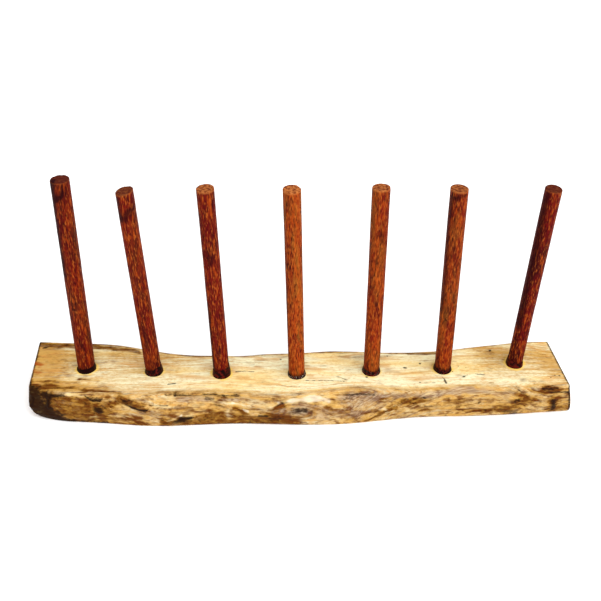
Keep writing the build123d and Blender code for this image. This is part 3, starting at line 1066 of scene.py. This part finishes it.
class SlabWood(Finish):
    """The slab's finish, built up in layers: fresh wood, weathering, stains, a painted highlight, and the
    sawn ends and gaps.

    It keeps the stored fields and the noises that several layers share.
    """

    def __init__(self, settings):
        super().__init__("slab_wood")
        self.settings = settings
        self.flow = self.field("flow")
        place = self.node("ShaderNodeTexCoord").outputs["Object"]
        self.ring = self.split(self.flow)[1]
        self.brown, self.grey, self.warm = self.split(self.field("stain"))
        self.dark, self.tan, self.knot = self.split(self.field("depth"))
        # The pale field also carries the painted highlight over the big knot's brow.
        self.gap, self.pale, self.end = self.split(self.field("marks"))
        self.on_top = self.band(self.split(place)[2], *TOP_FINISH)
        self.mottle = self.noise(place, (90, 160, 220), 5.0)
        self.grit = self.noise(place, (420, 700, 700), 4.0, (3, 1, 2))
        self.crumb = self.noise(place, (180, 300, 360), 5.0, (8, 2, 6))
        self.fibre = self.noise(self.flow, (0.045, 1.5, 1.5), 4.0)
        self.streak = self.noise(self.flow, (0.030, 0.50, 0.50), 4.0, (5, 2, 8))
        self.torn = self.halves(self.streak, self.mottle)

    def halves(self, a, b):
        """The mean of two noises."""
        return self.maths("ADD", self.maths("MULTIPLY", a, 0.5), self.maths("MULTIPLY", b, 0.5))

    def ragged(self, field, noise, amount):
        """A field with its border made ragged: field + (noise - 0.5) * amount."""
        push = self.maths("MULTIPLY", self.maths("SUBTRACT", noise, 0.5), amount)
        return self.maths("ADD", field, push)

    def ring_lines(self):
        """How much of a late-wood line shows: sine waves over the rings, fading in and out."""
        waver = self.noise(self.flow, (0.012, 0.05, 0.05), 3.0, (11, 3, 5))
        phase = self.maths("MULTIPLY", waver, 30.0)
        phase = self.maths("ADD", self.maths("MULTIPLY", self.ring, 1.35), phase)
        shown = self.noise(self.flow, (0.014, 0.22, 0.16), 2.0, (2, 7, 1))
        line = self.band(self.maths("SINE", phase), 0.4, 1.0)
        line = self.maths("MULTIPLY", line, self.band(shown, 0.42, 0.60))
        line = self.maths("MULTIPLY", line, self.band(self.knot, 0.05, 0.6, 1.0, 0.25))
        return self.maths("MULTIPLY", line, self.band(self.on_top, 0.0, 1.0, 0.35, 1.0))

    def fresh_wood(self, line):
        """Honey and pale bands, tan toning, ring lines, fibres and short brown dashes."""
        settings = self.settings
        broad = self.noise(self.flow, (0.012, 0.12, 0.08), 5.0)
        fine = self.noise(self.flow, (0.14, 4.0, 4.0), 3.0, (4, 4, 4))
        dash = self.noise(self.flow, (0.16, 2.2, 2.2), 1.0, (9, 1, 3))
        toning = self.ragged(self.ragged(self.tan, self.streak, 1.8), self.grit, 0.7)
        tone = self.mix(self.band(broad, 0.38, 0.58), settings.honey, settings.pale)
        tone = self.mix(self.band(self.grit, 0.46, 0.30, 0.0, 0.35), tone, settings.pale)
        tone = self.mix(self.band(toning, 0.05, 1.20, 0.0, 0.9), tone, settings.tan)
        tone = self.mix(self.maths("MULTIPLY", line, settings.figure), tone, settings.line)
        tone = self.mix(self.band(self.fibre, 0.50, 0.68, 0.0, 0.60), tone, settings.line)
        tone = self.mix(self.band(fine, 0.50, 0.70, 0.0, 0.55), tone, settings.line)
        tone = self.mix(self.band(self.grit, 0.52, 0.72, 0.0, 0.40), tone, settings.line)
        flecks = self.band(self.tan, 0.25, 1.0, 0.0, 0.70)
        for noise, low, high in ((self.crumb, 0.44, 0.62), (self.fibre, 0.46, 0.62)):
            flecks = self.maths("MULTIPLY", flecks, self.band(noise, low, high))
        tone = self.mix(flecks, tone, settings.brown)
        return self.mix(self.band(dash, 0.69, 0.80, 0.0, 0.6), tone, settings.brown)

    def weather(self, tone, worn):
        """Brown weathering where the wood is worn, and crumbs of brown and tan on the live edges."""
        settings = self.settings
        weathered = self.mix(self.band(self.torn, 0.41, 0.58), settings.brown, settings.tan)
        weathered = self.mix(self.band(self.brown, 0.7, 1.2, 0.0, 0.7), weathered, settings.brown)
        weathered = self.mix(self.band(self.grit, 0.50, 0.68, 0.0, 0.6), weathered, settings.dark)
        tone = self.mix(worn, tone, weathered)
        on_edge = self.band(self.on_top, 0.2, 0.9, 1.0, 0.0)
        for full, most, colour in ((0.68, 0.60, settings.brown), (0.34, 0.40, settings.tan)):
            crumbs = self.maths("MULTIPLY", self.band(self.crumb, 0.48, full, 0.0, most), on_edge)
            tone = self.mix(crumbs, tone, colour)
        return tone

    def stain(self, tone):
        """Grey weathering, dark stains, pale wood and a painted highlight on the front edge, the glue's
        halos and rust, one over the other.
        """
        settings = self.settings
        silver = self.mix(self.band(self.fibre, 0.38, 0.62), settings.silver, settings.slate)
        # Pale wood, and a painted highlight over the big knot's brow, in one colour.
        bare_and_glare = self.mix(self.band(self.pale, 0.55, 0.95), settings.honey, settings.bare_and_glare)
        layers = (
            (self.ragged(self.grey, self.mottle, 2.0), 0.15, 1.20, 0.75, silver),
            (self.ragged(self.dark, self.grit, 1.1), 0.20, 1.05, 0.92, settings.dark),
            (self.ragged(self.pale, self.torn, 2.6), 0.15, 1.50, 0.85, bare_and_glare),
            (self.ragged(self.warm, self.mottle, 0.6), 0.08, 0.50, 0.75, settings.amber),
            (self.ragged(self.warm, self.torn, 2.0), -0.15, -1.10, 0.80, settings.rust),
        )
        for field, low, high, most, colour in layers:
            tone = self.mix(self.band(field, low, high, 0.0, most), tone, colour)
        return tone

    def saw(self, tone):
        """Rings on the sawn ends, and the dark of gaps and worm holes over everything."""
        settings = self.settings
        cut = self.noise(self.flow, (0.35, 0.9, 0.9), 3.0, (1, 1, 1))
        sawn = self.mix(self.band(cut, 0.35, 0.65), settings.brown, settings.tan)
        rings = self.band(self.maths("SINE", self.maths("MULTIPLY", self.ring, 2.1)), 0.0, 1.0, 0.0, 0.6)
        sawn = self.mix(rings, sawn, settings.brown)
        tone = self.mix(self.maths("MULTIPLY", self.end, 0.85), tone, sawn)
        in_gap = self.band(self.ragged(self.gap, self.grit, 3.6), 0.4, 1.6, 0.92, 0.0)
        return self.mix(in_gap, tone, settings.dark)


def slab_finish(settings):
    """Pale figured wood on top, weathered brown and grey on the live edges, with checks and worm holes."""
    finish = SlabWood(settings)
    line = finish.ring_lines()
    worn = finish.band(finish.ragged(finish.brown, finish.torn, -2.8), 0.05, 1.0)
    tone = finish.saw(finish.stain(finish.weather(finish.fresh_wood(line), worn)))
    rise = finish.halves(finish.fibre, finish.grit)
    finish.bump(finish.maths("SUBTRACT", rise, finish.maths("MULTIPLY", line, 0.3)), settings.tooth)
    finish.set(
        Base_Color=tone,
        Roughness=finish.band(worn, 0.0, 1.0, settings.roughness, settings.roughness + 0.12),
        Specular_IOR_Level=settings.shine,
    )
    return finish.material


def peg_finish(number, redness, lightness, sawn_light, settings):
    """Red-brown open-grained stick: dark pores and orange streaks along it, pale end grain on top."""
    finish = Finish(f"peg_wood_{number}")
    stick = finish.field("stick")
    top, dirt_and_side_shade, edge = finish.split(finish.field("wear"))
    body = blend(np.array(settings.brown), np.array(settings.red), redness)
    body = tuple(body * blend(0.50, 1.11, lightness))
    broad = finish.noise(stick, (0.16, 0.16, 0.03), 4.0)
    tone = finish.mix(finish.band(broad, 0.34, 0.58), settings.dark, body)
    bloom = finish.noise(stick, (0.10, 0.10, 0.025), 3.0, (2, 4, 6))
    crimson = tuple(np.array(settings.red) * blend(0.45, 1.0, lightness))
    tone = finish.mix(finish.band(bloom, 0.45, 0.62, 0.0, 0.25 + 0.45 * redness), tone, crimson)
    faded = finish.noise(stick, (0.11, 0.11, 0.022), 4.0, (9, 2, 5))
    most = 0.65 * (1 - redness) * lightness
    tone = finish.mix(finish.band(faded, 0.44, 0.60, 0.0, most), tone, settings.gold)
    light = finish.noise(stick, (0.55, 0.55, 0.11), 4.0, (3, 5, 7))
    middle = 0.62 - 0.16 * lightness
    tone = finish.mix(finish.band(light, middle - 0.08, middle + 0.12, 0.0, 0.75), tone, settings.orange)
    glow = finish.noise(stick, (1.3, 1.3, 0.22), 3.0, (1, 8, 4))
    middle = 0.64 - 0.10 * lightness
    tone = finish.mix(finish.band(glow, middle - 0.10, middle + 0.12, 0.0, 0.60), tone, settings.straw)
    fleck = finish.noise(stick, (1.3, 1.3, 0.26), 4.0, (7, 1, 2))
    tone = finish.mix(finish.band(fleck, 0.48, 0.68, 0.0, 0.75), tone, settings.pore_and_side_shade)
    ring = finish.noise(stick, (0.5, 0.5, 0.0), 5.0, (6, 6, 0))
    sawn = finish.mix(finish.band(ring, 0.40, 0.60), settings.sawn_dark, settings.sawn)
    sawn = finish.mix(1 - sawn_light, sawn, settings.dark)
    tone = finish.mix(top, tone, sawn)
    # Dark resin above the collar, stains, and painted shade down the left side of the front.
    tone = finish.mix(finish.band(dirt_and_side_shade, 0.0, 1.0, 0.0, 0.9), tone, settings.pore_and_side_shade)
    tone = finish.mix(finish.band(edge, 0.0, 0.5, 0.0, 0.7), tone, settings.sawn)
    finish.bump(finish.maths("SUBTRACT", glow, fleck), settings.tooth)
    finish.set(
        Base_Color=tone,
        Roughness=finish.band(fleck, 0.4, 0.7, settings.roughness, settings.roughness + 0.2),
        Specular_IOR_Level=settings.shine,
    )
    return finish.material


def glue_finish(number, specks, redness, settings):
    """Hardened glue: almost black, glossy, redder where thin, with pale air specks in some collars."""
    finish = Finish(f"glue_{number}")
    place = finish.field("stick")
    cloud = finish.noise(place, (0.5, 0.5, 0.5), 3.0)
    low = 0.62 - 0.32 * redness
    tone = finish.mix(finish.band(cloud, low, low + 0.22), settings.colour, settings.thin)
    dots = finish.noise(place, (1.3, 1.3, 1.3), 1.0, (2, 9, 5))
    tone = finish.mix(finish.band(dots, 0.60, 0.66, 0.0, 0.9 * specks), tone, settings.speck)
    finish.bump(cloud, settings.tooth)
    finish.set(
        Base_Color=tone,
        Roughness=finish.band(dots, 0.3, 0.7, settings.roughness, settings.roughness + 0.14),
        Specular_IOR_Level=settings.shine,
    )
    return finish.material


# ---------------------------------------------------------------- settings


def colour_property(name, description, value):
    """A colour setting."""
    return FloatVectorProperty(
        name=name, description=description, subtype="COLOR", size=3, min=0.0, max=1.0, default=value
    )


class SlabSettings(PropertyGroup):
    """Sizes and colours of the slab."""

    pale: colour_property("Pale wood", "Lightest wood of the top", paint(255, 249, 206))
    honey: colour_property("Honey wood", "Darker bands of the top", paint(255, 226, 156))
    line: colour_property("Ring line", "Thin late-wood lines and fibres", paint(214, 152, 78))
    tan: colour_property("Tan edge", "Lighter wood of the live edges", paint(200, 149, 62))
    brown: colour_property("Brown edge", "Weathered wood of the live edges", paint(104, 54, 10))
    dark: colour_property("Gaps", "Checks, bark seams and holes", paint(32, 14, 6))
    silver: colour_property("Silvered wood", "Lighter grey weathering", paint(194, 170, 140))
    slate: colour_property("Slate wood", "Darker grey weathering", paint(134, 104, 82))
    # This colour also paints the highlight over the big knot's brow.
    bare_and_glare: colour_property("Bare wood", "Pale wood laid bare on the live edges", paint(250, 234, 202))
    amber: colour_property("Amber stain", "The glue's halo", paint(255, 206, 84))
    rust: colour_property("Rust stain", "Warm patches by the left end", paint(178, 86, 30))
    figure: FloatProperty(name="Figure", description="How strongly the ring lines show", default=0.6)
    tooth: FloatProperty(name="Tooth", description="Depth of the fibres in millimetres", default=0.30)
    roughness: FloatProperty(name="Roughness", description="Dullness of the oiled top", default=0.42)
    shine: FloatProperty(name="Shine", description="Strength of the mirror-like reflection", default=0.03)


class PegSettings(PropertyGroup):
    """Sizes and colours of the pegs."""

    dark: colour_property("Dark wood", "Darkest bands of the sticks", paint(70, 12, 12))
    brown: colour_property("Brown wood", "Body colour of the browner sticks", paint(142, 46, 12))
    red: colour_property("Red wood", "Body colour of the redder sticks", paint(128, 20, 18))
    orange: colour_property("Orange wood", "Light streaks", paint(172, 68, 16))
    straw: colour_property("Straw flecks", "Lightest short flecks", paint(212, 112, 40))
    gold: colour_property("Gold", "Patches where the red-brown wood has faded", paint(160, 104, 34))
    # This colour also paints the shade down the pegs' left sides.
    pore_and_side_shade: colour_property("Pores", "Dark pores and stains", paint(38, 6, 10))
    sawn: colour_property("End grain", "Sawn tops", paint(196, 116, 58))
    sawn_dark: colour_property("Dark end grain", "Pores of the sawn tops", paint(120, 56, 26))
    tooth: FloatProperty(name="Tooth", description="Depth of the open grain in millimetres", default=0.16)
    roughness: FloatProperty(name="Roughness", description="Dullness of the oiled sticks", default=0.42)
    shine: FloatProperty(name="Shine", description="Strength of the mirror-like reflection", default=0.02)
    round_steps: IntProperty(name="Steps round", description="Points round a stick", default=96, min=24)
    long_steps: IntProperty(name="Steps along", description="Rows along a stick", default=130, min=24)


class GlueSettings(PropertyGroup):
    """Sizes and colours of the glue."""

    colour: colour_property("Glue", "Thick hardened glue", paint(22, 2, 6))
    thin: colour_property("Thin glue", "Glue where light comes through", paint(92, 20, 14))
    speck: colour_property("Specks", "Air bubbles in the collar", paint(216, 204, 180))
    spread: FloatProperty(name="Spread", description="How far a collar spreads in millimetres", default=1.1)
    tooth: FloatProperty(name="Tooth", description="Depth of the ripples in millimetres", default=0.15)
    roughness: FloatProperty(name="Roughness", description="Dullness of the collars", default=0.30)
    shine: FloatProperty(name="Shine", description="Strength of the mirror-like reflection", default=0.05)


class StageSettings(PropertyGroup):
    """The floor, the lights and the camera."""

    floor: colour_property("Floor", "Plain pale floor", (0.92, 0.92, 0.92))
    sun: FloatProperty(name="Soft light", description="Strength of the soft frontal light", default=4.4)
    fill: FloatProperty(name="Fill light", description="Strength of the light from all round", default=0.42)
    sun_height: FloatProperty(name="Light height", description="Degrees above level", default=56.0)
    sun_side: FloatProperty(name="Light side", description="Degrees right of the front", default=34.0)
    softness: FloatProperty(name="Softness", description="Width of the light in degrees", default=80.0)
    camera: FloatVectorProperty(
        name="Camera", description="Place of the camera", subtype="XYZ", unit="LENGTH",
        default=(0.002, -0.5061, 0.4635),
    )
    tilt: FloatProperty(name="Tilt", description="Degrees the camera looks down", default=36.0)
    lens: FloatProperty(name="Lens", description="Focal length, in mm on a 36 mm frame", default=50.0)


# ---------------------------------------------------------------- operators


class MUGTREE_OT_slab(Operator):
    """Builds the live-edge slab with its peg holes and worm holes"""

    bl_idname = "mugtree.slab"
    bl_label = "Slab"

    def execute(self, context):
        settings = context.scene.mugtree_slab
        grid, normal, on_body = slab_grid()
        relief = slab_relief(*np.moveaxis(grid, -1, 0)) * on_body
        grid = grid + normal * relief[..., None]
        grid[..., 1] = held_above(SLAB_LOW[1], grid[..., 1], BOX_EASE)
        grid[..., 1] = -held_above(-SLAB_HIGH[1], -grid[..., 1], BOX_EASE)
        grid[..., 2] = np.clip(grid[..., 2], 0, THICKNESS)
        slab = closed_surface("slab_live_edge", grid)
        cut_away(slab, hole_cutters())
        slab.data.set_sharp_from_angle(angle=math.radians(48))
        x, y, z = positions(slab)
        put_field(slab, "flow", *grain(x, y, z))
        put_field(slab, "stain", *slab_stain(x, y, z))
        put_field(slab, "depth", *slab_depth(x, y, z))
        put_field(slab, "marks", *slab_marks(x, y, z))
        slab.data.materials.clear()
        slab.data.materials.append(slab_finish(settings))
        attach(slab, BODY)
        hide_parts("slab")
        return {"FINISHED"}


def peg_grid(number, axis, foot, height, radius, collar, settings):
    """A peg as a grid: rows along its profile, columns round it.

    The profile runs from the foot's middle, over its chamfer, up the sanded foot and the full shaft, over
    the eased rim and in to the top's middle. The radius is changed by slow ovals, by flats and by open
    grain, and the top is a plane that falls to one side.
    """
    slant, fall = PEG_LOOKS[number - 1][2:4]
    rng = np.random.default_rng(100 + number)
    depth = HOLE_DEPTH - GLUE_PAD
    foot_radius = radius - GLUE_THICKNESS
    shaft = np.linspace(-depth + FOOT_CHAMFER, height - PEG_EDGE, settings.long_steps)
    widen = soft_step(collar - 1.0, collar + SANDED_ABOVE, shaft)
    rim = np.linspace(0, math.pi / 2, 6)[1:]
    inward = np.linspace(1, 0, 9)[1:]
    flat_radius = radius - PEG_EDGE
    along = np.concatenate([[-depth, -depth, -depth], shaft, height - PEG_EDGE + PEG_EDGE * np.sin(rim),
                            0 * inward + height])
    around = np.concatenate([[0, 0.5 * foot_radius, foot_radius - FOOT_CHAMFER],
                             foot_radius + GLUE_THICKNESS * widen,
                             flat_radius + PEG_EDGE * np.cos(rim), flat_radius * inward])
    along, around = along[:, None], around[:, None]
    angle = np.linspace(0, 2 * math.pi, settings.round_steps, endpoint=False)[None, :]
    phase = rng.uniform(0, 2 * math.pi, 3)
    oval = 0.012 * np.cos(2 * angle + phase[0] + along / 90) + 0.008 * np.cos(3 * angle + phase[1])
    wobble = 0.010 * np.sin(along / 37 + phase[2]) * np.cos(angle + phase[1])
    ripple = NOISE_TABLE / (2 * math.pi) * angle
    pores = rough(ripple * 0.75, along / 9, 200 + number, 2)
    tool = rough(ripple * 0.125, along / 26, 300 + number, 2)
    above = soft_step(collar, collar + 4, along)
    rim_share = soft_step(0.0, 0.6, around / radius)
    reach = around * (1 + (oval + wobble) * above)
    reach = reach + (0.07 * pores - 0.05 + 0.12 * tool) * above * rim_share
    chips = soft_step(0.35, 0.8, rough(ripple * 0.25, 0 * along, 400 + number, 2))
    near_top = soft_step(height - 2.2, height, along)
    reach = reach - 0.5 * chips * near_top * rim_share
    fall_way = math.radians(fall)
    lean = math.tan(math.radians(slant)) * (reach * np.cos(angle - fall_way) + radius)
    local_z = along - lean * soft_step(height - 14, height, along)
    local_x, local_y = reach * np.cos(angle), reach * np.sin(angle)
    u, v = frame_of(axis)
    local = np.stack(np.broadcast_arrays(local_x, local_y, local_z), axis=-1)
    return foot + local[..., :1] * u + local[..., 1:2] * v + local[..., 2:] * axis


class MUGTREE_OT_pegs(Operator):
    """Builds the seven pegs, each with its own grain, oval, leaning top and colour"""

    bl_idname = "mugtree.pegs"
    bl_label = "Pegs"

    def execute(self, context):
        settings = context.scene.mugtree_pegs
        for number, facts in enumerate(PEGS, start=1):
            axis, foot, height, radius, collar = facts
            points = peg_grid(number, axis, foot, height, radius, collar, settings)
            peg = closed_surface(f"peg_stick_{number}", points, smooth_angle=50)
            u, v = frame_of(axis)
            place = np.stack(positions(peg), axis=-1) - foot
            x, y, z = place @ u, place @ v, place @ axis
            out = np.hypot(x, y)
            redness, lightness, slant, fall, sawn_light = PEG_LOOKS[number - 1]
            way = math.radians(fall)
            lean = math.tan(math.radians(slant)) * (x * math.cos(way) + y * math.sin(way) + radius)
            from_top = height - lean - z
            top = soft_step(0.45, 0.2, from_top)
            dirt_and_side_shade = soft_step(collar + 3.5, collar + 0.5, z + 1.5 * rough(x / 3, y / 3, 500 + number))
            # The streaks add dark stains, and painted shade down the left side of the front.
            stains = [streak for owner, streak in PEG_STAINS_AND_SIDE_SHADE if owner == number]
            across, up = stray(x, z, 1.0, 2.0, 520 + number)
            dirt_and_side_shade = np.maximum(0.6 * dirt_and_side_shade, streak_sum(across, up, stains) * soft_step(1.0, -1.0, y))
            edge = soft_step(1.2, 0.3, from_top) * soft_step(radius - 1.2, radius - 0.3, out) * (1 - top)
            shift = np.random.default_rng(600 + number).uniform(-50, 50, 3)
            put_field(peg, "stick", x + shift[0], y + shift[1], z + shift[2])
            put_field(peg, "wear", top, dirt_and_side_shade, edge * (0.15 + 0.35 * sawn_light))
            peg.data.materials.append(peg_finish(number, redness, lightness, sawn_light, settings))
            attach(peg, BODY)
            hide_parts(f"peg_{number}")
        return {"FINISHED"}


def glue_grid(number, axis, foot, radius, collar, spread):
    """A peg's glue as a ring-shaped grid: rows round its section, columns round the peg.

    The section runs down the hole's wall, under the peg's foot, up the peg's foot and shaft to the
    collar's ragged top edge, and out over the collar's rounded face to the slab.
    """
    uneven, high_side = COLLAR_LOOKS[number - 1][:2]
    angle = np.linspace(0, 2 * math.pi, COLLAR_STEPS, endpoint=False)[None, :]
    ripple = NOISE_TABLE / (2 * math.pi) * angle
    ragged = rough(ripple * 0.19, 0 * angle, 700 + number, 3)
    wide = rough(ripple * 0.13, 0 * angle, 800 + number, 2)
    top = collar * (1 + uneven * np.cos(angle - math.radians(high_side)) + 0.22 * ragged)
    skirt = spread * (0.85 + 0.45 * wide)
    inner = radius - GLUE_THICKNESS
    depth = HOLE_DEPTH - GLUE_PAD
    face = np.linspace(0, 1, 9)[:, None]
    bulge = np.sin(math.pi * face)
    lumps = 1 + 0.5 * rough(ripple * 0.25, face * 2, 900 + number)
    shape_out = blend(0.25, skirt, face**1.6) + 0.25 * bulge * lumps
    collar_radius = radius + shape_out
    collar_height = blend(top, -0.25, face**0.8)
    still = np.ones_like(angle)
    rows = [
        (radius * still, -0.6 * still),
        (radius * still, -HOLE_DEPTH / 2 * still),
        (radius * still, -HOLE_DEPTH * still),
        (0.5 * radius * still, -HOLE_DEPTH * still),
        (0.5 * radius * still, -depth * still),
        ((inner - FOOT_CHAMFER) * still, -depth * still),
        (inner * still, (FOOT_CHAMFER - depth) * still),
        (inner * still, -depth / 2 * still),
        (inner * still, (collar - 1.0) * still),
        ((inner + 0.1) * still, np.minimum(top * 0.8, collar)),
        ((inner + 0.35) * still, top - 0.05),
    ]
    out = np.concatenate([row[0] for row in rows] + [collar_radius])
    up = np.concatenate([row[1] for row in rows] + [collar_height])
    u, v = frame_of(axis)
    local_x, local_y = out * np.cos(angle), out * np.sin(angle)
    return foot + local_x[..., None] * u + local_y[..., None] * v + up[..., None] * axis


class MUGTREE_OT_glue(Operator):
    """Builds the hardened glue of each peg, from the pad under its foot to the collar on the slab"""

    bl_idname = "mugtree.glue"
    bl_label = "Glue"

    def execute(self, context):
        settings = context.scene.mugtree_glue
        for number, (axis, foot, _, radius, collar) in enumerate(PEGS, start=1):
            grid = glue_grid(number, axis, foot, radius, collar, settings.spread)
            glue = closed_surface(f"glue_collar_{number}", grid, poles=False, smooth_angle=60)
            x, y, z = positions(glue)
            put_field(glue, "stick", x, y, z)
            glue.data.materials.append(glue_finish(number, *COLLAR_LOOKS[number - 1][2:], settings))
            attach(glue, BODY)
            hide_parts(f"glue_{number}")
        return {"FINISHED"}


class MUGTREE_OT_stage(Operator):
    """Sets the floor, the soft light, the world and the camera"""

    bl_idname = "mugtree.stage"
    bl_label = "Stage"

    def execute(self, context):
        scene = context.scene
        settings = scene.mugtree_stage
        mesh = bpy.data.meshes.new("floor")
        corners = [(x * FLOOR_HALF, y * FLOOR_HALF, 0.0) for x, y in ((-1, -1), (1, -1), (1, 1), (-1, 1))]
        mesh.from_pydata(corners, [], [(0, 1, 2, 3)])
        floor = bpy.data.objects.new("floor", mesh)
        scene.collection.objects.link(floor)
        finish = Finish("floor")
        finish.set(Base_Color=(*settings.floor, 1.0), Roughness=0.9, Specular_IOR_Level=0.0)
        mesh.materials.append(finish.material)

        sun = bpy.data.lights.new("soft_light", "SUN")
        sun.energy = settings.sun
        sun.angle = math.radians(settings.softness)
        lamp = bpy.data.objects.new("soft_light", sun)
        lamp.rotation_euler = (math.radians(90 - settings.sun_height), 0, math.radians(settings.sun_side))
        scene.collection.objects.link(lamp)

        world = bpy.data.worlds.new("studio")
        world.use_nodes = True
        background = world.node_tree.nodes["Background"]
        background.inputs[0].default_value = (1.0, 1.0, 1.0, 1.0)
        background.inputs[1].default_value = settings.fill
        scene.world = world

        camera_data = bpy.data.cameras.new("camera")
        camera_data.lens = settings.lens
        camera = bpy.data.objects.new("camera", camera_data)
        camera.location = settings.camera
        camera.rotation_euler = (math.radians(90 - settings.tilt), 0, 0)
        scene.collection.objects.link(camera)
        scene.camera = camera
        scene.view_settings.view_transform = "Standard"
        return {"FINISHED"}


class MUGTREE_PT_panel(Panel):
    """Lists the settings and the buttons that build each piece"""

    bl_idname = "MUGTREE_PT_panel"
    bl_label = "Mug tree"
    bl_space_type = "VIEW_3D"
    bl_region_type = "UI"
    bl_category = "Mug tree"

    def draw(self, context):
        for label, (settings_name, _, operator) in GROUPS.items():
            box = self.layout.box()
            box.operator(operator.bl_idname, text=label)
            settings = getattr(context.scene, settings_name)
            for key in settings.bl_rna.properties.keys():
                if key not in ("rna_type", "name"):
                    box.prop(settings, key)


GROUPS = {
    "Slab": ("mugtree_slab", SlabSettings, MUGTREE_OT_slab),
    "Pegs": ("mugtree_pegs", PegSettings, MUGTREE_OT_pegs),
    "Glue": ("mugtree_glue", GlueSettings, MUGTREE_OT_glue),
    "Stage": ("mugtree_stage", StageSettings, MUGTREE_OT_stage),
}


def register():
    """Registers the settings, the operators and the panel."""
    for settings_name, settings, operator in GROUPS.values():
        bpy.utils.register_class(settings)
        bpy.utils.register_class(operator)
        setattr(bpy.types.Scene, settings_name, PointerProperty(type=settings))
    bpy.utils.register_class(MUGTREE_PT_panel)


def unregister():
    """Takes everything back out."""
    bpy.utils.unregister_class(MUGTREE_PT_panel)
    for settings_name, settings, operator in GROUPS.values():
        delattr(bpy.types.Scene, settings_name)
        bpy.utils.unregister_class(operator)
        bpy.utils.unregister_class(settings)


def main():
    """Builds the stage and every piece."""
    register()
    bpy.ops.mugtree.stage()
    bpy.ops.mugtree.slab()
    bpy.ops.mugtree.pegs()
    bpy.ops.mugtree.glue()


if __name__ == "__main__":
    main()
